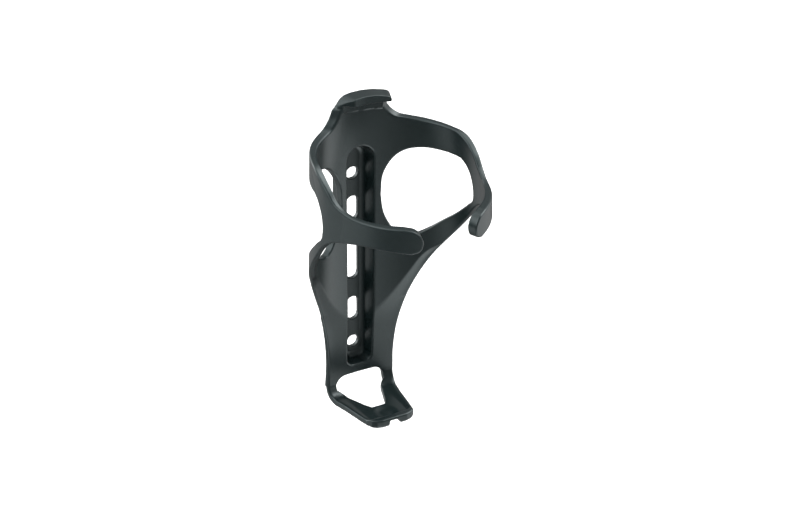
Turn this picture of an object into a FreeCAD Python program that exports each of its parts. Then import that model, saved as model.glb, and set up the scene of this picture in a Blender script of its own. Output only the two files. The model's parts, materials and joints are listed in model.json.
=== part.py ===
import FreeCAD, Part
import math
import os

# Bicycle water bottle cage, one injection moulding divided into its named regions.
# Everything is built round the bottle's axis (z up, bottle at the origin, bike tube at +y)
# and moved at the end so that the origin is the middle of the bolt pattern on the rear seat.

V = FreeCAD.Vector

# Mounting spine
SEAT_Y = 46.4            # rear face that rests on the bike tube
FLOOR_Y = 44.0           # front face of the channel floor, where bolt heads sit
POCKET_HALF = 6.8        # half width of the channel, inside
SPINE_HALF = 9.0         # half width of the channel, outside
POCKET_TOP = 57.5
POCKET_BOTTOM = -51.5
SPINE_WALL = 2.2
BOLT_R = 2.9             # clearance for an M5 bolt
HOLE_Z = 42.0            # round holes, above and below the middle
SLOT_Z = 25.0            # short slots, above and below the middle
SHORT_SLOT = 11.6        # overall length
LONG_SLOT = 20.0

# Wall that wraps the bottle: angle from the spine, inner radius, outer radius at WALL_Z,
# and how much both radii shrink per mm of height
WALL_Z = 50.0
WALL_PLAN = [
    (0, 36.8, 40.4, 0.0),
    (35, 37.2, 41.1, 0.0),
    (60, 36.4, 39.4, 0.02),
    (80, 35.2, 37.8, 0.05),
    (105, 33.9, 36.3, 0.05),
    (130, 34.3, 37.7, 0.03),
    (165, 35.4, 40.4, 0.0),
]
PANEL_TOP = 77.0
WAIST_Z = -57.0

# Lower front: a flatter surface in front, as (height, y at the middle), and a leaning round one behind
FRONT = [
    (-80, 38.8), (-50, 38.1), (-38, 37.5), (-26, 36.6), (-16.5, 35.2), (-5.5, 33.0), (3, 30.6), (8, 27.6),
    (13, 22),
]
FRONT_R = 90.0
FRONT_TOP = 18.0
FRONT_SWEEP = 40.0       # degrees to each side
LOWER_BACK_R = 51.3
LEAN = 0.078             # mm back per mm of height
LEAN_Y = -7.2
THIN_LOW_R = 41.9        # keeps some thickness behind the flatter front; radius at LOW_Z
THIN_HIGH_R = 37.4       # and at FRONT_TOP
LOW_Z = -80.0            # below everything

# Neck tab
TAB_INNER_R = 32.5
TAB_OUTER_R = 40.4
TAB_UNDER = 78.6

# Toe bracket under the bottle
TOE_PLAN = [
    (5.3, 6.0), (6.1, 8.8), (7.6, 10.6), (10.4, 11.8), (15, 12.7), (25.9, 14.4), (36.3, 16.6), (42, 17.4),
]
TOE_BOTTOM = -66.0
TOE_RIM_TOP = -62.8
TOE_WEB_TOP = -64.2
LEG_THICK = 3.3
TOE_HEEL_R = 7.5
HEEL_Y = 30.0
TOE_LIP_TOP = -61.0
LIP_BACK_Y = 8.6
NOTCH_HALF = 3.6
NOTCH_TOP = -63.8

# Flexing arms
ROOT_ANGLE = 35.0        # where each arm's loop bends
ROOT_GAP = 0.4           # degrees of clearance behind the root
ELBOW_ANGLE = 78.0
BAND_ANGLE = 112.0
TIP_ANGLE = 140.0
LOOP_SPLIT_Z = 45.0

# Heights where the wall divides into regions
RAIL_BOTTOM = 16.0
WAIST_TOP = -26.0
BRIDGE_TOP = -49.5
BRIDGE_HALF = 10.0

DEGREE = 0.65            # one degree round the wall, in mm


def plan_point(angle, radius, z=0.0):
    a = math.radians(angle)
    return V(radius * math.sin(a), radius * math.cos(a), z)


def spline(points):
    """Curve through points at even parameters, so that copies at two scales stay in step."""
    curve = Part.BSplineCurve()
    curve.interpolate(Points=points, Parameters=[float(i) for i in range(len(points))])
    return curve.toShape()


def smooth(points, steps=4):
    """Rounded path through (angle, height) pairs, evenly filled in so that it can't overshoot."""
    ends = [
        (2 * points[0][0] - points[1][0], 2 * points[0][1] - points[1][1]),
        (2 * points[-1][0] - points[-2][0], 2 * points[-1][1] - points[-2][1]),
    ]
    guide = ends[:1] + points + ends[1:]
    path = []
    for i in range(1, len(points)):
        p = guide[i - 1:i + 3]
        knots = [0.0]
        for j in range(3):
            across = (p[j + 1][0] - p[j][0]) * DEGREE
            knots.append(knots[-1] + math.hypot(across, p[j + 1][1] - p[j][1]) ** 0.5)
        for step in range(steps):
            at = knots[1] + (knots[2] - knots[1]) * step / steps
            path.append(blend_four(p, knots, at))
    return path + points[-1:]


def blend_four(p, knots, at):
    """Point at one parameter of the curve through four points, with its own knots."""
    level = list(p)
    for depth in (1, 2, 3):
        merged = []
        for j in range(4 - depth):
            low = knots[j] if depth < 3 else knots[1]
            high = knots[j + depth] if depth < 3 else knots[2]
            w = (at - low) / (high - low)
            a = level[j]
            b = level[j + 1]
            merged.append((a[0] + (b[0] - a[0]) * w, a[1] + (b[1] - a[1]) * w))
        level = merged
    return level[0]


def wall_blank(column, z_low, z_high):
    """Solid whose plan, at each height, is the closed area inside one side of the wall."""
    wires = []
    for z in (z_low, z_high):
        right = [plan_point(row[0], row[column] - row[3] * (z - WALL_Z), z) for row in WALL_PLAN]
        left = [V(-p.x, p.y, p.z) for p in right[:0:-1]]
        wires.append(Part.Wire([spline(left + right), Part.makeLine(right[-1], left[0])]))
    return Part.makeLoft(wires, True, True)


def chain(segments, to_point):
    """Closed wire of splines; each segment is a list of (angle, height) pairs."""
    edges = []
    for points in segments:
        path = smooth(points) if len(points) > 2 else points
        placed = [to_point(angle, height) for angle, height in path]
        edges.append(spline(placed) if len(placed) > 2 else Part.makeLine(placed[0], placed[1]))
    return Part.Wire(edges)


def side_cutter(segments):
    """Solid swept outward from the bottle's axis through a side outline (right side)."""
    wires = []
    for x in (4.0, 70.0):
        def to_point(angle, height, x=x):
            return V(x, x / math.tan(math.radians(angle)), height)
        wires.append(chain(segments, to_point))
    return Part.makeLoft(wires, True, True)


def mirrored(shape):
    return shape.mirror(V(0, 0, 0), V(1, 0, 0))


def slab(x0, x1, y0, y1, z0, z1):
    return Part.makeBox(x1 - x0, y1 - y0, z1 - z0, V(x0, y0, z0))


def wedge(angle0, angle1, z0, z1, radius=90.0):
    """Upright sector round the bottle's axis."""
    points = [V(0, 0, z0)]
    steps = max(1, math.ceil((angle1 - angle0) / 60.0))
    for i in range(steps + 1):
        points.append(plan_point(angle0 + (angle1 - angle0) * i / steps, radius, z0))
    return Part.Face(Part.makePolygon(points + points[:1])).extrude(V(0, 0, z1 - z0))


def rounded_plate(half, bottom, top, bottom_r, top_r, y0, y1):
    """Upright plate facing y with round top and bottom corners."""
    corners = [
        (-half, top, top_r, -1, 1),
        (half, top, top_r, 1, 1),
        (half, bottom, bottom_r, 1, -1),
        (-half, bottom, bottom_r, -1, -1),
    ]
    edges = []
    ends = []
    for x, z, r, sx, sz in corners:
        side = V(x, y0, z - sz * r)
        flat = V(x - sx * r, y0, z)
        middle = V(x - sx * r * (1 - math.sqrt(0.5)), y0, z - sz * r * (1 - math.sqrt(0.5)))
        first, last = (side, flat) if sx * sz < 0 else (flat, side)
        edges.append(Part.Arc(first, middle, last).toShape())
        ends.append((first, last))
    lines = []
    for i in range(4):
        a = ends[i][1]
        b = ends[(i + 1) % 4][0]
        if (a - b).Length > 1e-6:
            lines.append(Part.makeLine(a, b))
    wire = Part.Wire(Part.__sortEdges__(edges + lines))
    return Part.Face(wire).extrude(V(0, y1 - y0, 0))


def plan_prism(half_widths, z0, z1):
    """Upright prism, symmetric about the spine, from (y, half width) pairs."""
    right = [V(half, y, z0) for y, half in half_widths]
    left = [V(-p.x, p.y, p.z) for p in reversed(right)]
    points = right + left
    return Part.Face(Part.makePolygon(points + points[:1])).extrude(V(0, 0, z1 - z0))


# Outer edge of the right-hand arm loop, as (angle, height)
ARM_TOP = [
    (17, 77), (20.3, 73), (25.4, 70), (31, 69), (45, 68.1), (62, 67.5), (74, 66.9),
    (82.4, 64.8), (90.4, 60.8), (99, 56.3), (110, 54.0), (130, 53.3), (150, 53.2),
]
TIP_END = [(150, 53.2), (157.6, 52.0), (161.8, 48.2), (160.4, 43.6), (155, 42.0)]
ARM_BOTTOM = [(155, 42.0), (140, 42.8), (124, 42.8), (109, 41.0), (97, 38.6), (88, 34.2), (80, 27.8)]
STRUT_BOTTOM = [
    (80, 27.8), (68, 18.2), (55, 7.4), (42.6, -5.4), (33, -19), (27, -33), (24.6, -46), (24.4, -57),
]
LOOP_OUTLINE = [
    [(12, 77), (17, 77)],
    ARM_TOP,
    TIP_END,
    ARM_BOTTOM,
    STRUT_BOTTOM,
    [(24.4, -57), (12, -57)],
    [(12, -57), (12, 77)],
]

# Large opening between the arm and the strut
OPENING_OUTLINE = [
    [(14.8, 33), (16.6, 42.0), (22.6, 49.1), (30.4, 53.1), (42, 55.0), (58, 55.3), (73.4, 55.1)],
    [(73.4, 55.1), (79.4, 53.0), (85.0, 48.8), (87.6, 43.6), (87.4, 39.6), (85.4, 37.2), (81, 34.8)],
    [(81, 34.8), (74, 30.6), (66, 26.0), (58, 21.8), (48, 16.4), (42, 13.8), (36, 12.3)],
    [(36, 12.3), (31, 11.9), (26.5, 13), (22, 16.8), (17.2, 24), (14.8, 33)],
]

inner_blank = wall_blank(1, -90, 110)
outer_blank = wall_blank(2, -80, 100)


def leaning_cylinder(radius, reach=130.0):
    return Part.makeCylinder(radius, reach, V(0, LEAN_Y, LOW_Z), V(0, -LEAN, 1))


def front_space():
    """Space in front of the flatter front: its section in (y, z), swept round a large arc."""
    centre_y = FRONT[0][1] - FRONT_R
    axis = V(0, centre_y, 0)
    path = smooth([(y / DEGREE, z) for z, y in FRONT])
    curve = spline([V(0, y * DEGREE, z) for y, z in path])
    low = curve.Vertexes[0].Point
    high = curve.Vertexes[-1].Point
    high_centre = V(0, centre_y, high.z)
    low_centre = V(0, centre_y, low.z)
    edges = [
        curve,
        Part.makeLine(high, high_centre),
        Part.makeLine(high_centre, low_centre),
        Part.makeLine(low_centre, low),
    ]
    face = Part.Face(Part.Wire(edges))
    face.rotate(axis, V(0, 0, 1), -FRONT_SWEEP)
    return face.revolve(axis, V(0, 0, 1), 2 * FRONT_SWEEP)


# The flatter lower front meets the cylindrical pocket at a crease
thin_blank = Part.makeCone(THIN_LOW_R, THIN_HIGH_R, FRONT_TOP - LOW_Z, V(0, 0, LOW_Z))
lower_pocket = front_space().common(thin_blank)
lower_back = leaning_cylinder(LOWER_BACK_R).common(slab(-40, 40, 15, 80, -79, -15))

wall = outer_blank.fuse(lower_back).cut(inner_blank)
loop_right = side_cutter(LOOP_OUTLINE)
opening_right = side_cutter(OPENING_OUTLINE)
side_right = wall.common(loop_right).cut(opening_right)
side_right = side_right.cut(lower_pocket)
middle = wall.common(slab(-9.5, 9.5, 20, 60, WAIST_Z, PANEL_TOP))
middle = middle.cut(lower_pocket)

# Spine channel
pocket = rounded_plate(POCKET_HALF, POCKET_BOTTOM, POCKET_TOP, 3.6, 6.0, 20, FLOOR_Y)
tub = rounded_plate(SPINE_HALF, POCKET_BOTTOM - SPINE_WALL, POCKET_TOP + SPINE_WALL, 5.0, 8.0, 30, SEAT_Y)
tub = tub.cut(outer_blank.fuse(lower_back)).cut(pocket)


def bolt_opening(z, length):
    """Round hole when the length is the bolt clearance, otherwise an upright slot."""
    half = max(0.0, length / 2.0 - BOLT_R)
    cutter = Part.makeCylinder(BOLT_R, 40, V(0, 20, z - half), V(0, 1, 0))
    if half > 0:
        cutter = cutter.fuse(Part.makeCylinder(BOLT_R, 40, V(0, 20, z + half), V(0, 1, 0)))
        cutter = cutter.fuse(slab(-BOLT_R, BOLT_R, 20, 60, z - half, z + half))
    return cutter


floor = tub.common(slab(-20, 20, FLOOR_Y, 60, -80, 80))
for z, length in (
    (HOLE_Z, 0), (SLOT_Z, SHORT_SLOT), (0, LONG_SLOT), (-SLOT_Z, SHORT_SLOT), (-HOLE_Z, 0),
):
    floor = floor.cut(bolt_opening(z, length))

walls = tub.common(slab(-20, 20, 20, FLOOR_Y, -80, 80))
DOME_Z = POCKET_TOP - 6.0
FOOT_Z = POCKET_BOTTOM + 3.6
channel_dome = walls.common(slab(-20, 20, 20, 60, DOME_Z, 80))
channel_foot = walls.common(slab(-20, 20, 20, 60, -80, FOOT_Z))
ramp_profile = [
    V(-POCKET_HALF, FLOOR_Y, -46.6),
    V(-POCKET_HALF, 39.4, -50.6),
    V(-POCKET_HALF, 39.4, -52.4),
    V(-POCKET_HALF, FLOOR_Y, -52.4),
]
ramp = Part.Face(Part.makePolygon(ramp_profile + ramp_profile[:1])).extrude(V(2 * POCKET_HALF, 0, 0))
ramp = ramp.common(pocket).cut(outer_blank.fuse(lower_back))
channel_foot = channel_foot.fuse(ramp.common(slab(-20, 20, 20, 60, -80, FOOT_Z))).removeSplitter()
wall_strip = walls.common(slab(0, 20, 20, 60, FOOT_Z, DOME_Z))

# Bottom opening: through the back wall, then forward through the toe
back_opening = rounded_plate(11.9, -70, -55.2, 1.0, 4.5, 37, 60)
back_opening = back_opening.common(slab(-20, 20, 37, 60, -63.5, -50))
toe_opening = plan_prism([(20.7, 3.3), (23.9, 5.0), (34, 8.8), (40, 10.8), (48, 10.8)], -80, -60)


def tray(solid, z0, z1, heel_r):
    """Part of a solid between two heights, with its rear bottom edge rounded."""
    block = solid.common(slab(-22, 22, 0, 80, z0, z1))
    floor_edges = [e for e in block.Edges if e.BoundBox.ZMax < z0 + 1e-3]
    heel = max(floor_edges, key=lambda e: e.CenterOfMass.y)
    return block.makeFillet(heel_r, [heel])


# Toe bracket: a tray with a rounded heel, trimmed to its plan
toe_tray = tray(leaning_cylinder(LOWER_BACK_R), TOE_BOTTOM, WAIST_Z, TOE_HEEL_R)
toe_tray = toe_tray.cut(tray(front_space(), TOE_RIM_TOP, WAIST_Z + 5, TOE_HEEL_R - LEG_THICK))
toe = toe_tray.common(plan_prism(TOE_PLAN, -80, -50)).cut(toe_opening).cut(back_opening)
WEB_PLAN = [(LIP_BACK_Y, 8.4), (13.4, 10.1), (25.9, 12.0), (31.8, 13.2)]
toe = toe.cut(plan_prism(WEB_PLAN, TOE_WEB_TOP, -60))
lip = plan_prism([(5.3, 6.0), (6.1, 8.8), (7.6, 10.6), (LIP_BACK_Y, 11.0)], TOE_BOTTOM, TOE_LIP_TOP)
notch = slab(-NOTCH_HALF, NOTCH_HALF, 0, 10.0, -80, NOTCH_TOP)
toe = toe.cut(notch)
toe_lip = lip.cut(notch)
# The toe divides into legs, rims, web and front lip
trim = slab(-30, 30, LIP_BACK_Y, HEEL_Y, -80, -50)
web_area = plan_prism(WEB_PLAN, -80, -50)
toe_floor = toe.common(trim)
toe_web = toe_floor.common(web_area)
toe_rims = toe_floor.cut(web_area)
toe_legs = toe.common(slab(-30, 30, HEEL_Y, 60, -80, -50))

# Neck tab: a crowned lip that hooks over the shoulder of the bottle
TAB_OUTLINE = [
    [
        (-16.8, 77.0), (-14.2, 79.8), (-9.5, 81.8), (0, 82.3),
        (9, 82.1), (16, 81.4), (20, 80.8), (21.6, 79.7),
    ],
    [(21.6, 79.7), (21.0, 78.2), (17, 77.0)],
    [(17, 77.0), (-16.8, 77.0)],
]
wires = []
for y in (10.0, 60.0):
    def tab_point(angle, height, y=y):
        return V(y * math.tan(math.radians(angle)), y, height)
    wires.append(chain(TAB_OUTLINE, tab_point))
tab_cutter = Part.makeLoft(wires, True, True)
tab_ring = Part.makeCylinder(TAB_OUTER_R, 20, V(0, 0, 70))
tab_ring = tab_ring.cut(Part.makeCylinder(TAB_INNER_R, 20, V(0, 0, 70)))
under_tab = Part.makeCylinder(WALL_PLAN[0][1], TAB_UNDER - PANEL_TOP, V(0, 0, PANEL_TOP))
neck_tab = tab_ring.common(tab_cutter).cut(under_tab)

# The whole wall, then its regions
shell = middle.fuse([side_right, mirrored(side_right)]).removeSplitter()
shell = shell.cut(pocket).cut(back_opening)
moving_from = ROOT_ANGLE + ROOT_GAP


def region(angle0, angle1, z0, z1):
    return shell.common(wedge(angle0, angle1, z0, z1))


fixed = {
    "neck_tab": neck_tab,
    "upper_panel": region(-ROOT_ANGLE, ROOT_ANGLE, DOME_Z, 100),
    "channel_dome": channel_dome,
    "channel_foot": channel_foot,
    "spine_floor": floor,
    "bottom_bridge": shell.common(slab(-BRIDGE_HALF, BRIDGE_HALF, 20, 60, WAIST_Z, BRIDGE_TOP)),
    "toe_web": toe_web,
    "toe_lip": toe_lip,
}
waist = region(0, ROOT_ANGLE, WAIST_Z, WAIST_TOP)
waist = waist.cut(slab(-BRIDGE_HALF, BRIDGE_HALF, 20, 60, WAIST_Z, BRIDGE_TOP))
sided = {
    "channel_wall": wall_strip,
    "side_rail": region(0, ROOT_ANGLE, RAIL_BOTTOM, DOME_Z),
    "lower_panel": region(0, ROOT_ANGLE, WAIST_TOP, RAIL_BOTTOM),
    "waist": waist,
    "toe_leg": toe_legs.common(slab(0, 30, 0, 60, -80, -50)),
    "toe_rim": toe_rims.common(slab(0, 30, 0, 60, -80, -50)),
    "upper_arm": region(moving_from, ELBOW_ANGLE, LOOP_SPLIT_Z, 100),
    "lower_strut": region(moving_from, ELBOW_ANGLE, -80, LOOP_SPLIT_Z),
    "arm_elbow": region(ELBOW_ANGLE, BAND_ANGLE, -80, 100),
    "arm_band": region(BAND_ANGLE, TIP_ANGLE, -80, 100),
    "arm_tip": region(TIP_ANGLE, 175, -80, 100),
}

nodes = dict(fixed)
for name, shape in sided.items():
    nodes["right_" + name] = shape
    nodes["left_" + name] = mirrored(shape)

os.makedirs("parts", exist_ok=True)
for name, shape in nodes.items():
    placed = shape.copy()
    placed.translate(V(0, -SEAT_Y, 0))
    if len(placed.Solids) != 1 or not placed.isValid():
        raise RuntimeError(name + " is not one valid solid: " + str(len(placed.Solids)))
    placed.Solids[0].exportStep("parts/" + name + ".step")
    print(name, round(placed.Volume, 1))
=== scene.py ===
import json
import math

import bmesh
import bpy
import numpy as np
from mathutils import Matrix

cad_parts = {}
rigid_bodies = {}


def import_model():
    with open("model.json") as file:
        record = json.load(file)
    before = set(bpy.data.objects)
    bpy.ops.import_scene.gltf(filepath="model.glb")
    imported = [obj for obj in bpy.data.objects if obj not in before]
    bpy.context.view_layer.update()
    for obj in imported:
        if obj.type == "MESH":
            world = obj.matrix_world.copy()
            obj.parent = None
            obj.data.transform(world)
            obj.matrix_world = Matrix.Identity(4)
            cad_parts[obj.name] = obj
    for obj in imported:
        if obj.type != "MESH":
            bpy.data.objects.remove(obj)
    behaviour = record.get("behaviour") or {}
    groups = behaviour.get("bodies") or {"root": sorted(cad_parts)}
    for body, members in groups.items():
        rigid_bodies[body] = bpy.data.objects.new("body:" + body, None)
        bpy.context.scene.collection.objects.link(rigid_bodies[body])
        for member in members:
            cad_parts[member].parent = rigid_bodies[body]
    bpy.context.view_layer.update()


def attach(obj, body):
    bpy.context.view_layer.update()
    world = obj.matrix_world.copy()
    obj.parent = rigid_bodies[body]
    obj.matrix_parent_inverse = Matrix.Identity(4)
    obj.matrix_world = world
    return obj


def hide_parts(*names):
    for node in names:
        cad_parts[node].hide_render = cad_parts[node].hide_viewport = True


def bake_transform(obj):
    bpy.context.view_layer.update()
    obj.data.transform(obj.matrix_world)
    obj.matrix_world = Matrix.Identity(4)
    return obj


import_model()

import openvdb
from mathutils import Matrix, Vector

# The cage is one moulding, so its visible surface is one smooth signed distance field, in mm, built from
# the CAD's outlines, to within 0.7 mm. It is meshed once and then cut into the CAD's named regions.
# Inside the field the bottle's axis is x = y = 0 and the bicycle tube is at +y.

MM = 0.001
VOXEL = 0.45
MM_PER_DEGREE = 0.65           # round the wall
TABLE_STEP = 0.3               # of the tables of distance to an outline

# Spine and its channel
SEAT_Y = 46.4                  # rear seat of the cage; the frame's origin is on it
FLOOR_Y = 44.0                 # front of the channel's floor
SPINE_FRONT_Y = 30.0
SPINE_HALF = 9.0
SPINE_BOTTOM = -53.7
SPINE_BOTTOM_R = 5.0
SPINE_TOP = 59.7
SPINE_TOP_R = 8.0
CHANNEL_HALF = 6.6             # at mid height
CHANNEL_FLARE = 0.2 / 55       # gain in half width per mm of height
CHANNEL_MOUTH_Y = 36.5
CHANNEL_BOTTOM = -51.6
CHANNEL_BOTTOM_R = 4.0
CHANNEL_TOP = 57.6
CHANNEL_TOP_R = 6.4
DRAFT = 0.2                    # narrowing of the channel per mm of depth
FOOT_DRAFT = 0.35
BOLT_R = 2.9
BOLT_FRONT_Y = 38.0
BOLT_OPENINGS = [(42, 0), (25, 2.9), (0, 7.1), (-25, 2.9), (-42, 0)]   # middle, half of its straight part

# Wall round the bottle: angle from the spine, inner radius, outer radius at WALL_Z, shrink per mm of height
WALL_Z = 50.0
WALL_PLAN = [
    (-35, 37.2, 41.1, 0.0), (0, 36.8, 40.4, 0.0), (35, 37.2, 41.1, 0.0), (60, 36.4, 39.4, 0.02),
    (80, 35.2, 37.8, 0.05), (105, 33.9, 36.3, 0.05), (130, 34.3, 37.7, 0.03), (165, 35.4, 40.4, 0.0),
    (190, 36.0, 41.4, 0.0),
]

# Outlines in (angle from the spine, height)
ARM_TOP = [
    (17, 77), (20.3, 73), (25.4, 70), (31, 69), (45, 68.1), (62, 67.5), (74, 66.9),
    (82.4, 64.8), (90.4, 60.8), (99, 56.3), (110, 54.0), (130, 53.3), (150, 53.2),
]
ARM_TIP = [(150, 53.2), (157.6, 52.0), (161.8, 48.2), (160.4, 43.6), (155, 42.0)]
ARM_BOTTOM = [(155, 42.0), (140, 42.8), (124, 42.8), (109, 41.0), (97, 38.6), (88, 34.2), (80, 27.8)]
STRUT_BOTTOM = [
    (80, 27.8), (68, 18.2), (55, 7.4), (42.6, -5.4), (33, -19), (27, -33), (24.6, -46), (24.4, -58),
]
OPENING = [
    [(14.8, 33), (16.6, 42.0), (22.6, 49.1), (30.4, 53.1), (42, 55.0), (58, 55.3), (73.4, 55.1)],
    [(73.4, 55.1), (79.4, 53.0), (85.0, 48.8), (87.6, 43.6), (87.4, 39.6), (85.4, 37.2), (81, 34.8)],
    [(81, 34.8), (74, 30.6), (66, 26.0), (58, 21.8), (48, 16.4), (42, 13.8), (36, 11.8)],
    [(36, 11.8), (31, 11.2), (26.5, 12.6), (22, 16.6), (17.2, 24), (14.8, 33)],
]
TAB = [
    (-18, 75.6), (-14.2, 79.8), (-9.5, 81.8), (0, 82.3), (9, 82.1), (16, 81.4), (20, 80.8), (21.6, 79.7),
]
TAB_END = [(21.6, 79.7), (21.0, 78.2), (17, 77.2)]
BAND_FOLD = [(77, 70), (79, 65), (85, 61.5), (90, 57), (93, 51), (91.5, 44), (89, 37.5), (86, 30)]
FOLD_HEIGHT = 0.7
FOLD_REACH = 9.0
FOLD_ROUNDING = 0.8

# Flatter front of the lower part, in (height, y at the middle); it curves forward to the sides
FRONT = [
    (-70, 38.8), (-50, 38.1), (-38, 37.5), (-26, 36.6), (-16.5, 35.2), (-5.5, 33.0), (3, 30.6), (8, 27.6),
    (13, 22), (20, 12), (90, -90),
]
FRONT_R = 90.0
CREASE_ROUNDING = 0.25         # where it meets the cylinder behind the bottle
FRONT_EDGE_Y = 5.0             # the arms' tips, in front of this, keep clear of it
THIN_WALL = 1.9

# Leaning round back of the lower part
BACK_R = 51.3
BACK_Y = -7.2                  # of its axis, at BACK_LOW
BACK_LEAN = 0.078
BACK_LOW = -80.0
BACK_TOP = -20.0

# Rounding of the wall's back edge against height
EDGE_HEIGHTS = [-35, -15, 5, 15]
EDGE_ROUNDING = [1.1, 2.2, 2.2, 0.75]
HOLLOW_ROUNDING = 0.75
EDGE_SLANT = 0.6               # of the edge towards the neck, in mm round the wall per mm of thickness
SLANT_LOW = 60.0
SLANT_R = 38.9

# Neck tab
TAB_INNER_R = 32.5
TAB_OUTER_R = 40.6
TAB_UNDER = 78.6
TAB_UNDER_R = 36.8
TAB_CORNER = (-5.0, 32.0)      # its left end is cut off slanting, by a plane through this (x, y)
TAB_SLANT = (0.67, 0.74)

# Toe, in (half width, y)
TOE_PLAN = [
    (6.0, 5.3), (8.8, 6.1), (10.6, 7.6), (11.8, 10.4), (12.7, 15), (14.4, 25.9), (16.7, 36.3), (17.6, 42),
    (17.6, 50),
]
TOE_OPENING = [(3.3, 20.7), (5.0, 23.9), (8.8, 34), (10.8, 40), (10.8, 48)]
TOE_OPENING_TOP = -60.0
TOE_ZONE = -48.0               # nothing of the toe or its opening reaches above this
TOE_BOTTOM = -66.0
TOE_TOP = -56.0
HEEL_ROUNDING = 8.5
HEEL_INNER_ROUNDING = 6.0
SIDE_ROUNDING = 1.6
RIM_TOP = -62.7
RIM_WIDTH = 0.8
RIM_ROUNDING = 0.8
RAMP_WIDTH = 1.8               # from rim to web at RAMP_Y, and its gain per mm towards the heel
RAMP_GAIN = 0.14
RAMP_Y = 8.0
WEB_DROP = 0.8
SCOOP_DROP = 0.6
SCOOP_Y = 13.5
SCOOP_HALF = 6.0
SCOOP_LENGTH = 7.5
LIP_TOP = -61.8
LIP_END_Y = 11.5
LIP_FADE = 3.5
NOTCH_HALF = 2.325             # at NOTCH_TOP; it widens downwards
NOTCH_TOP = -63.1
NOTCH_BACK_Y = 14.0
NOTCH_FLARE = 0.25
NOTCH_FALL = 0.9               # of its roof per mm, behind NOTCH_FALL_Y
NOTCH_FALL_Y = 8.0
HEEL_Y = 37.0
HEEL_HALF = 11.9
HEEL_TOP = -55.2
HEEL_FLOOR = -63.5


def smooth_path(points, steps=6):
    """Centripetal curve through (a, b) pairs, as a denser list of pairs."""
    first = (2 * points[0][0] - points[1][0], 2 * points[0][1] - points[1][1])
    last = (2 * points[-1][0] - points[-2][0], 2 * points[-1][1] - points[-2][1])
    guide = [np.array(p, float) for p in [first] + list(points) + [last]]
    path = []
    for i in range(1, len(points)):
        p = guide[i - 1:i + 3]
        knots = [0.0]
        for j in range(3):
            gap = p[j + 1] - p[j]
            knots.append(knots[-1] + math.hypot(gap[0] * MM_PER_DEGREE, gap[1]) ** 0.5)
        for step in range(steps):
            at = knots[1] + (knots[2] - knots[1]) * step / steps
            level = p
            for depth in (1, 2, 3):
                merged = []
                for j in range(4 - depth):
                    low = knots[j] if depth < 3 else knots[1]
                    high = knots[j + depth] if depth < 3 else knots[2]
                    share = (at - low) / (high - low)
                    merged.append(level[j] + (level[j + 1] - level[j]) * share)
                level = merged
            path.append(tuple(level[0]))
    return path + [points[-1]]


def to_mm(path):
    return [(angle * MM_PER_DEGREE, height) for angle, height in path]


def polygon_distance(a, b, corners):
    """Signed distance from points (a, b) to a closed polygon, negative inside it."""
    nearest = np.full(np.broadcast(a, b).shape, 1e9)
    inside = np.zeros(nearest.shape, bool)
    for (a0, b0), (a1, b1) in zip(corners, corners[1:] + corners[:1]):
        da = a1 - a0
        db = b1 - b0
        along = np.clip(((a - a0) * da + (b - b0) * db) / (da * da + db * db + 1e-12), 0, 1)
        nearest = np.minimum(nearest, (a - a0 - along * da) ** 2 + (b - b0 - along * db) ** 2)
        if db:
            spans = (b0 <= b) != (b1 <= b)
            inside ^= spans & (a < a0 + (b - b0) * da / db)
    return np.where(inside, -1.0, 1.0) * np.sqrt(nearest)


class Outline:
    """Signed distance to an outline on the unrolled wall, tabulated and read back by interpolation."""
    low = (-20.0, -72.0)
    high = (122.0, 90.0)

    def __init__(self, corners):
        a = np.arange(self.low[0], self.high[0], TABLE_STEP)
        b = np.arange(self.low[1], self.high[1], TABLE_STEP)
        self.table = polygon_distance(a[:, None], b[None, :], corners)

    def at(self, a, b):
        rows, columns = self.table.shape
        u = np.clip((a - self.low[0]) / TABLE_STEP, 0, rows - 1.001)
        v = np.clip((b - self.low[1]) / TABLE_STEP, 0, columns - 1.001)
        i = u.astype(int)
        j = v.astype(int)
        u = u - i
        v = v - j
        t = self.table
        left = t[i, j] * (1 - v) + t[i, j + 1] * v
        right = t[i + 1, j] * (1 - v) + t[i + 1, j + 1] * v
        return left * (1 - u) + right * u


def joined(*segments):
    """One list of corners from segments that follow each other."""
    corners = []
    for segment in segments:
        corners += [p for p in segment if not corners or p != corners[-1]]
    return corners[:-1] if corners[0] == corners[-1] else corners


loop_outline = Outline(to_mm(joined(
    [(-30, 78.8), (13.5, 78.8), (17, 77)],
    smooth_path(ARM_TOP),
    smooth_path(ARM_TIP),
    smooth_path(ARM_BOTTOM),
    smooth_path(STRUT_BOTTOM),
    [(24.4, -58), (-30, -58)],
)))
opening_outline = Outline(to_mm(joined(*[smooth_path(s) for s in OPENING])))
tab_outline = Outline(to_mm(joined(
    smooth_path(TAB),
    smooth_path(TAB_END),
    [(17, 77.2), (16, 74.0), (-18, 75.6)],
)))

plan_angle = np.arange(-20.0, 181.0, 1.0)


def plan_table(column):
    """Smooth wall radius or taper against angle."""
    path = smooth_path([(row[0], row[column]) for row in WALL_PLAN], 12)
    values = np.interp(plan_angle, [p[0] for p in path], [p[1] for p in path])
    kernel = np.hanning(15)
    padded = np.pad(values, 7, mode="edge")
    return np.convolve(padded, kernel / kernel.sum(), mode="valid")


inner_radius = plan_table(1)
outer_radius = plan_table(2)
taper = plan_table(3)
front_path = np.array(smooth_path(FRONT, 12))
fold_path = np.array(to_mm(smooth_path(BAND_FOLD)))


def ease(t):
    t = np.clip(t, 0, 1)
    return t * t * (3 - 2 * t)


def smooth_min(a, b, k):
    return np.minimum(a, b) - np.maximum(k - np.abs(a - b), 0) ** 2 / (4 * k)


def smooth_max(a, b, k):
    return -smooth_min(-a, -b, k)


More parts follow.
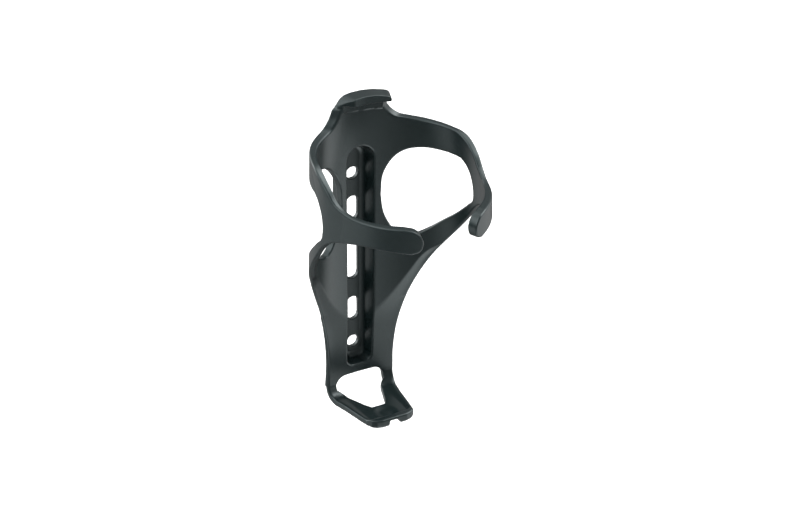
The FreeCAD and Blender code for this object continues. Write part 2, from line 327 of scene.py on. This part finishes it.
def round_max(a, b, radius):
    """Intersection of two solids whose shared edge is rounded to a radius."""
    u = a + radius
    v = b + radius
    return np.minimum(np.maximum(u, v), 0) + np.hypot(np.maximum(u, 0), np.maximum(v, 0)) - radius


def plate_distance(x, z, half, bottom, top, bottom_r, top_r):
    """Signed distance, in its own plane, to an upright plate with rounded corners."""
    middle = (bottom + top) / 2
    corner = np.where(z > middle, top_r, bottom_r)
    u = np.abs(x) - half + corner
    v = np.abs(z - middle) - (top - bottom) / 2 + corner
    return np.minimum(np.maximum(u, v), 0) + np.hypot(np.maximum(u, 0), np.maximum(v, 0)) - corner


def mirror_polygon(right):
    return right + [(-a, b) for a, b in reversed(right)]


def wall_slab(x, y, z):
    """Distances to the wall, to the hollow before it, to its leaning back and to its flatter front."""
    side = np.abs(x)
    r = np.hypot(x, y)
    angle = np.degrees(np.arctan2(side, y))
    u = angle * MM_PER_DEGREE

    # Slab
    shrink = np.interp(angle, plan_angle, taper) * (z - WALL_Z)
    to_inner = r - np.interp(angle, plan_angle, inner_radius) + shrink
    to_outer = r - np.interp(angle, plan_angle, outer_radius) + shrink
    lean = np.hypot(x, y - BACK_Y + BACK_LEAN * (z - BACK_LOW)) - BACK_R
    to_back = smooth_min(to_outer, lean + np.maximum(z - BACK_TOP, 0), 2.0)
    front = y - np.interp(z, front_path[:, 0], front_path[:, 1]) + side ** 2 / (2 * FRONT_R)
    front = front + 3 * np.maximum(FRONT_EDGE_Y - y, 0)
    hollow = smooth_min(to_inner, smooth_max(front, to_back + THIN_WALL, 1.0), CREASE_ROUNDING)
    fold = np.interp(z, fold_path[::-1, 1], fold_path[::-1, 0]) - u
    ridge = FOLD_HEIGHT * np.clip(1 - np.hypot(fold, FOLD_ROUNDING) / FOLD_REACH, 0, 1)
    to_back = to_back - ridge * np.clip((z - 30) / 10, 0, 1)

    # Its outline, whose edge slants towards the neck
    slant = EDGE_SLANT * ease((z - SLANT_LOW) / 8)
    outline = loop_outline.at(u + slant * (SLANT_R - r), z)
    outline = np.maximum(outline, -opening_outline.at(u, z))
    back_edge = np.interp(z, EDGE_HEIGHTS, EDGE_ROUNDING)
    d = round_max(round_max(to_back, outline, back_edge), -hollow, HOLLOW_ROUNDING)
    return d, hollow, lean, front


def spine_tub(x, y, z):
    """Outside of the channel."""
    tub = plate_distance(x, z, SPINE_HALF, SPINE_BOTTOM, SPINE_TOP, SPINE_BOTTOM_R, SPINE_TOP_R)
    return round_max(np.maximum(tub, SPINE_FRONT_Y - y), y - SEAT_Y, 1.2)


def tab_hook(x, y, z):
    """Neck tab: a piece of a ring that stands in front of the wall."""
    r = np.hypot(x, y)
    across = np.degrees(np.arctan2(x, y)) * MM_PER_DEGREE
    ring = np.maximum(TAB_INNER_R - r, r - TAB_OUTER_R)
    tab = round_max(ring, tab_outline.at(across, z), 0.45)
    tab = np.maximum(tab, np.minimum(TAB_UNDER - z, TAB_UNDER_R - r))
    corner = -(x - TAB_CORNER[0]) * TAB_SLANT[0] - (y - TAB_CORNER[1]) * TAB_SLANT[1]
    return smooth_max(tab, corner, 0.4)


def toe_bracket(x, y, z, lean, front):
    """Bracket under the bottle: a tray with a round heel, a sunk web, a lip and a notch."""
    plan = polygon_distance(x, y, mirror_polygon(TOE_PLAN))
    ramp = (-plan - RIM_WIDTH) / (RAMP_WIDTH + RAMP_GAIN * (y - RAMP_Y))
    scoop = ease(1.6 - 1.6 * np.hypot(x / SCOOP_HALF, (y - SCOOP_Y) / SCOOP_LENGTH))
    top = RIM_TOP - WEB_DROP * ease(ramp) - SCOOP_DROP * scoop
    top = top + (LIP_TOP - top) * ease((LIP_END_Y - y) / LIP_FADE)
    outside = round_max(round_max(lean, TOE_BOTTOM - z, HEEL_ROUNDING), plan, SIDE_ROUNDING)
    inside = round_max(front, top - z, HEEL_INNER_ROUNDING)
    tray = round_max(np.maximum(outside, z - TOE_TOP), -inside, RIM_ROUNDING)
    roof = NOTCH_TOP - NOTCH_FALL * np.maximum(y - NOTCH_FALL_Y, 0)
    notch = np.maximum(np.abs(x) - NOTCH_HALF + NOTCH_FLARE * (z - NOTCH_TOP), z - roof)
    return round_max(tray, -np.maximum(notch, y - NOTCH_BACK_Y), 0.4)


def heel_space(x, y, z):
    """Space of the opening through the toe and up the back wall."""
    hole = np.maximum(polygon_distance(x, y, mirror_polygon(TOE_OPENING)), z - TOE_OPENING_TOP)
    heel = np.maximum(plate_distance(x, z, HEEL_HALF, -70, HEEL_TOP, 1.0, 4.5), HEEL_Y - y)
    heel = np.maximum(heel, HEEL_FLOOR - z)
    return smooth_min(hole, heel, 3.0)


def channel_space(x, y, z):
    """Space of the channel, a little wider towards its top and narrower towards its floor."""
    depth = np.clip(y - CHANNEL_MOUTH_Y, 0, 8)
    half = CHANNEL_HALF + CHANNEL_FLARE * z - DRAFT * depth
    bottom = CHANNEL_BOTTOM + FOOT_DRAFT * depth
    top = CHANNEL_TOP - DRAFT * depth
    sides = plate_distance(x, z, half, bottom, top, CHANNEL_BOTTOM_R, CHANNEL_TOP_R)
    return round_max(sides, y - FLOOR_Y, 1.8)


def bolt_space(x, y, z, middle, half):
    """Space of a round hole, or of an upright slot when half is above zero."""
    bore = np.hypot(x, np.maximum(np.abs(z - middle) - half, 0)) - BOLT_R
    return np.maximum(bore, BOLT_FRONT_Y - y)


def field(x, y, z):
    """Signed distance to the moulding's surface, in mm, negative inside the plastic."""
    x, y, z = np.broadcast_arrays(x, y, z)
    d, hollow, lean, front = wall_slab(x, y, z)
    d = np.maximum(smooth_min(d, spine_tub(x, y, z), 2.0), -hollow)
    d = smooth_min(d, tab_hook(x, y, z), 0.4)
    low = z < TOE_ZONE
    if low.any():
        place = (x[low], y[low], z[low])
        lower = smooth_min(d[low], toe_bracket(*place, lean[low], front[low]), 0.15)
        d[low] = round_max(lower, -heel_space(*place), 0.6)
    d = smooth_max(d, -channel_space(x, y, z), 0.8)
    for middle, half in BOLT_OPENINGS:
        d = smooth_max(d, -bolt_space(x, y, z, middle, half), 0.3)
    return d


def mesh_moulding():
    """Closed quad mesh of the field's zero surface, as points in mm and quads."""
    low = np.array([-43.0, -46.0, -69.0])
    high = np.array([43.0, 50.0, 85.0])
    axes = [np.arange(low[i], high[i], VOXEL) for i in range(3)]
    values = np.empty([len(a) for a in axes], np.float32)
    for k, height in enumerate(axes[2]):
        values[:, :, k] = field(axes[0][:, None], axes[1][None, :], height)
    values = np.clip(values, -2, 2)
    grid = openvdb.FloatGrid(2.0)
    grid.copyFromArray(values)
    points, quads = grid.convertToQuads(0.0)
    points = points.astype(float) * VOXEL + low
    for _ in range(2):
        value, gradient = slope(points)
        step = value / np.maximum((gradient ** 2).sum(1), 0.25)
        points -= gradient * np.clip(step, -0.2, 0.2)[:, None]
    return points, quads.astype(np.int64)


def slope(points, step=0.06):
    """The field and its gradient at points."""
    gradient = np.empty_like(points)
    for axis in range(3):
        offset = np.zeros(3)
        offset[axis] = step
        ahead = field(*(points + offset).T)
        behind = field(*(points - offset).T)
        gradient[:, axis] = (ahead - behind) / (2 * step)
    return field(*points.T), gradient


def to_frame(points):
    return (points - np.array([0.0, SEAT_Y, 0.0])) * MM


def from_frame(points):
    return points / MM + np.array([0.0, SEAT_Y, 0.0])


def plastic():
    """Charcoal moulded plastic: satin, with a fine even grain."""
    material = bpy.data.materials.new("charcoal_plastic")
    material.use_nodes = True
    nodes = material.node_tree.nodes
    links = material.node_tree.links
    shader = nodes["Principled BSDF"]
    shader.inputs["Specular IOR Level"].default_value = 0.5
    shader.inputs["Specular Tint"].default_value = (0.87, 0.99, 1.0, 1)
    place = nodes.new("ShaderNodeTexCoord")
    grain = nodes.new("ShaderNodeTexNoise")
    grain.inputs["Scale"].default_value = 2600
    grain.inputs["Detail"].default_value = 2
    cloud = nodes.new("ShaderNodeTexNoise")
    cloud.inputs["Scale"].default_value = 38
    cloud.inputs["Detail"].default_value = 3
    links.new(place.outputs["Object"], grain.inputs["Vector"])
    links.new(place.outputs["Object"], cloud.inputs["Vector"])
    colour = nodes.new("ShaderNodeMix")
    colour.data_type = "RGBA"
    colour.inputs["A"].default_value = (0.0042, 0.0088, 0.0093, 1)
    colour.inputs["B"].default_value = (0.0058, 0.0108, 0.0113, 1)
    links.new(cloud.outputs["Fac"], colour.inputs["Factor"])
    links.new(colour.outputs["Result"], shader.inputs["Base Color"])
    rough = nodes.new("ShaderNodeMapRange")
    rough.inputs["To Min"].default_value = 0.26
    rough.inputs["To Max"].default_value = 0.34
    links.new(grain.outputs["Fac"], rough.inputs["Value"])
    links.new(rough.outputs["Result"], shader.inputs["Roughness"])
    bump = nodes.new("ShaderNodeBump")
    bump.inputs["Strength"].default_value = 0.12
    bump.inputs["Distance"].default_value = 0.00008
    links.new(grain.outputs["Fac"], bump.inputs["Height"])
    links.new(bump.outputs["Normal"], shader.inputs["Normal"])
    return material


charcoal = plastic()


def new_object(name, points, faces):
    mesh = bpy.data.meshes.new(name)
    mesh.from_pydata(to_frame(points).tolist(), [], faces)
    mesh.validate()
    created = bpy.data.objects.new(name, mesh)
    bpy.context.scene.collection.objects.link(created)
    return created


def prism(corners, low, high, along_x=False):
    """Closed prism with corners in (x, y), upright, or in (y, z), lying along x."""
    ends = [[(c[0], c[1], level) for c in corners] for level in (low, high)]
    points = np.array(ends[0] + ends[1], float)
    if along_x:
        points = points[:, [2, 0, 1]]
    count = len(corners)
    sides = [(i, (i + 1) % count, count + (i + 1) % count, count + i) for i in range(count)]
    cutter = new_object("cutter", points, [tuple(range(count)), tuple(range(count, 2 * count))] + sides)
    edit = bmesh.new()
    edit.from_mesh(cutter.data)
    bmesh.ops.recalc_face_normals(edit, faces=edit.faces)
    edit.to_mesh(cutter.data)
    edit.free()
    return cutter


def box(x0, x1, y0, y1, z0, z1):
    return prism([(x0, y0), (x1, y0), (x1, y1), (x0, y1)], z0, z1)


def sector(angle0, angle1, z0, z1, reach=90.0):
    """Upright wedge between two angles round the bottle."""
    steps = max(1, math.ceil((angle1 - angle0) / 60))
    angles = [math.radians(angle0 + (angle1 - angle0) * i / steps) for i in range(steps + 1)]
    return prism([(0, 0)] + [(reach * math.sin(a), reach * math.cos(a)) for a in angles], z0, z1)


def cut(source, cutter, operation="INTERSECT"):
    """New object: the part of the source inside the cutter, or outside it."""
    source.modifiers.clear()
    modifier = source.modifiers.new("cut", "BOOLEAN")
    modifier.operation = operation
    modifier.solver = "MANIFOLD"
    modifier.object = cutter
    bpy.context.view_layer.update()
    evaluated = source.evaluated_get(bpy.context.evaluated_depsgraph_get())
    result = bpy.data.objects.new("part", bpy.data.meshes.new_from_object(evaluated))
    bpy.context.scene.collection.objects.link(result)
    source.modifiers.clear()
    return result


def finished(piece, name):
    """Named piece, shaded with the field's own normals so that light runs on across a seam."""
    mesh = piece.data
    piece.name = mesh.name = name + "_moulded"
    co = np.empty(len(mesh.vertices) * 3)
    mesh.vertices.foreach_get("co", co)
    points = from_frame(co.reshape(-1, 3))
    _, gradient = slope(points)
    normals = gradient / np.maximum(np.linalg.norm(gradient, axis=1), 1e-9)[:, None]
    corner = np.empty(len(mesh.loops), int)
    mesh.loops.foreach_get("vertex_index", corner)
    normals = normals[corner]
    # Faces on a cut stay flat
    centres = np.empty(len(mesh.polygons) * 3)
    mesh.polygons.foreach_get("center", centres)
    on_cut = np.abs(field(*from_frame(centres.reshape(-1, 3)).T)) > 0.08
    flat = np.empty(len(mesh.polygons) * 3)
    mesh.polygons.foreach_get("normal", flat)
    sizes = np.empty(len(mesh.polygons), int)
    mesh.polygons.foreach_get("loop_total", sizes)
    per_corner = np.repeat(on_cut, sizes)
    normals[per_corner] = np.repeat(flat.reshape(-1, 3), sizes, axis=0)[per_corner]
    mesh.shade_smooth()
    mesh.normals_split_custom_set(normals.tolist())
    mesh.materials.clear()
    mesh.materials.append(charcoal)
    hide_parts(name)


points, quads = mesh_moulding()
whole = new_object("whole", points, quads.tolist())

# Heights where the moulding divides, as in the CAD
TAB_Z = 77
DOME_Z = 51.5
LOOP_SPLIT_Z = 45
RAIL_BOTTOM = 16
WAIST_TOP = -26
FOOT_Z = -47.9
BRIDGE_TOP = -49.5
WAIST_Z = -57

# Angles where the arm loops divide
ROOT = 35
ELBOW = 78
BAND = 112
TIP = 140
TIP_END = 175

BRIDGE_HALF = 10
LIP_BACK_Y = 8.6
LEG_FRONT_Y = 30.0
FAR = 100

# Everything behind the wall belongs to the channel
channel_profile = [(40.2, 60.5), (40.2, -15), (43.2, -54), (60, -54), (60, 60.5)]
channel_zone = prism(channel_profile, -BRIDGE_HALF, BRIDGE_HALF, along_x=True)
channel = cut(whole, channel_zone)
wall = cut(whole, channel_zone, "DIFFERENCE")
channel_sides = cut(channel, box(-FAR, FAR, 0, FLOOR_Y, -FAR, FAR))
toe = cut(wall, box(-FAR, FAR, 0, FAR, -FAR, WAIST_Z))
toe_floor = cut(toe, box(-FAR, FAR, LIP_BACK_Y, LEG_FRONT_Y, -FAR, FAR))
web_half = [(8.4, LIP_BACK_Y - 5), (8.4, LIP_BACK_Y), (12.9, LEG_FRONT_Y), (12.9, LEG_FRONT_Y + 5)]
web_area = prism(mirror_polygon(web_half), -FAR, FAR)
rims = cut(toe_floor, web_area, "DIFFERENCE")
legs = cut(toe, box(-FAR, FAR, LEG_FRONT_Y, FAR, -FAR, FAR))
waist_ring = cut(wall, box(-BRIDGE_HALF, BRIDGE_HALF, 0, FAR, WAIST_Z, BRIDGE_TOP), "DIFFERENCE")

fixed = {
    "neck_tab": cut(wall, box(-FAR, FAR, 0, FAR, TAB_Z, FAR)),
    "upper_panel": cut(wall, sector(-ROOT, ROOT, DOME_Z, TAB_Z)),
    "channel_dome": cut(channel_sides, box(-FAR, FAR, 0, FAR, DOME_Z, FAR)),
    "channel_foot": cut(channel_sides, box(-FAR, FAR, 0, FAR, -FAR, FOOT_Z)),
    "spine_floor": cut(channel, box(-FAR, FAR, FLOOR_Y, FAR, -FAR, FAR)),
    "bottom_bridge": cut(wall, box(-BRIDGE_HALF, BRIDGE_HALF, 0, FAR, WAIST_Z, BRIDGE_TOP)),
    "toe_web": cut(toe_floor, web_area),
    "toe_lip": cut(toe, box(-FAR, FAR, -FAR, LIP_BACK_Y, -FAR, FAR)),
}


def half_of(source, side, z0, z1):
    return cut(source, box(min(0, side * FAR), max(0, side * FAR), 0, FAR, z0, z1))


def side_sector(source, side, angle0, angle1, z0, z1):
    first, last = sorted((side * angle0, side * angle1))
    return cut(source, sector(first, last, z0, z1))


def bend(piece):
    """Bakes the piece's placement into its mesh; the piece is not attached to a body."""
    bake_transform(piece)


for label, side in (("right_", 1), ("left_", -1)):
    fixed[label + "channel_wall"] = half_of(channel_sides, side, FOOT_Z, DOME_Z)
    fixed[label + "toe_leg"] = half_of(legs, side, -FAR, FAR)
    fixed[label + "toe_rim"] = half_of(rims, side, -FAR, FAR)
    fixed[label + "side_rail"] = side_sector(wall, side, 0, ROOT, RAIL_BOTTOM, DOME_Z)
    fixed[label + "lower_panel"] = side_sector(wall, side, 0, ROOT, WAIST_TOP, RAIL_BOTTOM)
    fixed[label + "waist"] = side_sector(waist_ring, side, 0, ROOT, WAIST_Z, WAIST_TOP)
    upper_arm = side_sector(wall, side, ROOT, ELBOW, LOOP_SPLIT_Z, FAR)
    finished(upper_arm, label + "upper_arm")
    bend(upper_arm)
    lower_strut = side_sector(wall, side, ROOT, ELBOW, WAIST_TOP, LOOP_SPLIT_Z)
    finished(lower_strut, label + "lower_strut")
    bend(lower_strut)
    outer_regions = [("arm_elbow", ELBOW, BAND), ("arm_band", BAND, TIP), ("arm_tip", TIP, TIP_END)]
    for name, angle0, angle1 in outer_regions:
        piece = side_sector(wall, side, angle0, angle1, -FAR, FAR)
        finished(piece, label + name)
        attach(piece, label + "loop")
for name, piece in fixed.items():
    finished(piece, name)
    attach(piece, "cage_body")

for leftover in [o for o in bpy.data.objects if o.name.split(".")[0] in ("whole", "part", "cutter")]:
    bpy.data.objects.remove(leftover)


def paper_floor():
    """Plain pale floor, well below the object."""
    reach = 3.0
    height = -0.12
    plan = [(-reach, -reach), (reach, -reach), (reach, reach), (-reach, reach)]
    corners = [(x, y, height) for x, y in plan]
    mesh = bpy.data.meshes.new("floor")
    mesh.from_pydata(corners, [], [(0, 1, 2, 3)])
    paper = bpy.data.materials.new("paper")
    paper.use_nodes = True
    shader = paper.node_tree.nodes["Principled BSDF"]
    shader.inputs["Base Color"].default_value = (0.9, 0.9, 0.9, 1)
    shader.inputs["Roughness"].default_value = 0.9
    mesh.materials.append(paper)
    floor = bpy.data.objects.new("floor", mesh)
    bpy.context.scene.collection.objects.link(floor)
    floor.visible_glossy = False


paper_floor()

# Soft boxes of the studio: azimuth from the front (towards +x), elevation, brightness
SOFT_BOXES = [
    (0, -60, 2.2), (30, -35, 0.4), (60, -35, 0.4), (60, -10, 1.3), (95, -10, 0.8),
    (-105, -25, 0.7), (-150, -25, 0.3), (-150, 15, 4.5), (-90, 45, 3.5), (90, 45, 6.0), (180, 65, 1.5),
]
ROOM = 0.33
BOX_EDGE = math.cos(math.radians(34))
BOX_CORE = math.cos(math.radians(4))


def studio_world():
    """Soft boxes round the object. Seen directly the room is plain white."""
    world = bpy.data.worlds.new("studio")
    bpy.context.scene.world = world
    world.use_nodes = True
    nodes = world.node_tree.nodes
    links = world.node_tree.links
    direction = nodes.new("ShaderNodeTexCoord").outputs["Generated"]
    total = nodes.new("ShaderNodeValue").outputs[0]
    total.default_value = ROOM
    for azimuth, elevation, brightness in SOFT_BOXES:
        a = math.radians(azimuth)
        e = math.radians(elevation)
        facing = nodes.new("ShaderNodeVectorMath")
        facing.operation = "DOT_PRODUCT"
        facing.inputs[1].default_value = (math.sin(a) * math.cos(e), -math.cos(a) * math.cos(e), math.sin(e))
        links.new(direction, facing.inputs[0])
        ramp = nodes.new("ShaderNodeMapRange")
        ramp.interpolation_type = "SMOOTHSTEP"
        ramp.inputs["From Min"].default_value = BOX_EDGE
        ramp.inputs["From Max"].default_value = BOX_CORE
        ramp.inputs["To Max"].default_value = brightness
        links.new(facing.outputs["Value"], ramp.inputs["Value"])
        add = nodes.new("ShaderNodeMath")
        links.new(total, add.inputs[0])
        links.new(ramp.outputs["Result"], add.inputs[1])
        total = add.outputs[0]
    seen = nodes.new("ShaderNodeMix")
    seen.data_type = "RGBA"
    seen.inputs["B"].default_value = (1, 1, 1, 1)
    links.new(nodes.new("ShaderNodeLightPath").outputs["Is Camera Ray"], seen.inputs["Factor"])
    links.new(total, seen.inputs["A"])
    links.new(seen.outputs["Result"], nodes["Background"].inputs["Color"])


studio_world()


def soft_light(name, place, target, width, height, power):
    data = bpy.data.lights.new(name, "AREA")
    data.shape = "RECTANGLE"
    data.size = width
    data.size_y = height
    data.energy = power
    light = bpy.data.objects.new(name, data)
    light.location = place
    light.rotation_euler = (Vector(target) - Vector(place)).to_track_quat("-Z", "Y").to_euler()
    light.visible_glossy = False
    bpy.context.scene.collection.objects.link(light)


centre = (0.0, -0.04, 0.0)
soft_light("left_box", (-0.9, -0.25, 0.5), centre, 0.7, 0.9, 1.5)
soft_light("right_box", (0.9, 0.1, 0.5), centre, 0.6, 0.9, 1.5)
soft_light("top_box", (0.0, 0.1, 1.2), centre, 1.6, 1.6, 4)

# Camera
AZIMUTH = math.radians(-30.3)
ELEVATION = math.radians(27.64)
ROLL = math.radians(0.387)
DISTANCE = 1000.0
CENTRE_RIGHT = 1.073           # where the origin of the field shows, in mm from the picture's middle
CENTRE_UP = -17.961

back = Vector((
    math.sin(AZIMUTH) * math.cos(ELEVATION),
    -math.cos(AZIMUTH) * math.cos(ELEVATION),
    math.sin(ELEVATION),
))
level = Vector((math.cos(AZIMUTH), math.sin(AZIMUTH), 0))
upright = back.cross(level)
right = level * math.cos(ROLL) + upright * math.sin(ROLL)
up = upright * math.cos(ROLL) - level * math.sin(ROLL)
place = back * DISTANCE - right * CENTRE_RIGHT - up * CENTRE_UP
place = Vector(to_frame(np.array(place)))
lens = bpy.data.cameras.new("camera")
lens.sensor_width = 36.0
lens.sensor_fit = "HORIZONTAL"
lens.lens = 104.85
lens.clip_start = 0.01
camera = bpy.data.objects.new("camera", lens)
camera.matrix_world = Matrix((
    (right.x, up.x, back.x, place.x),
    (right.y, up.y, back.y, place.y),
    (right.z, up.z, back.z, place.z),
    (0, 0, 0, 1),
))
bpy.context.scene.collection.objects.link(camera)
bpy.context.scene.camera = camera
bpy.context.scene.view_settings.view_transform = "Standard"
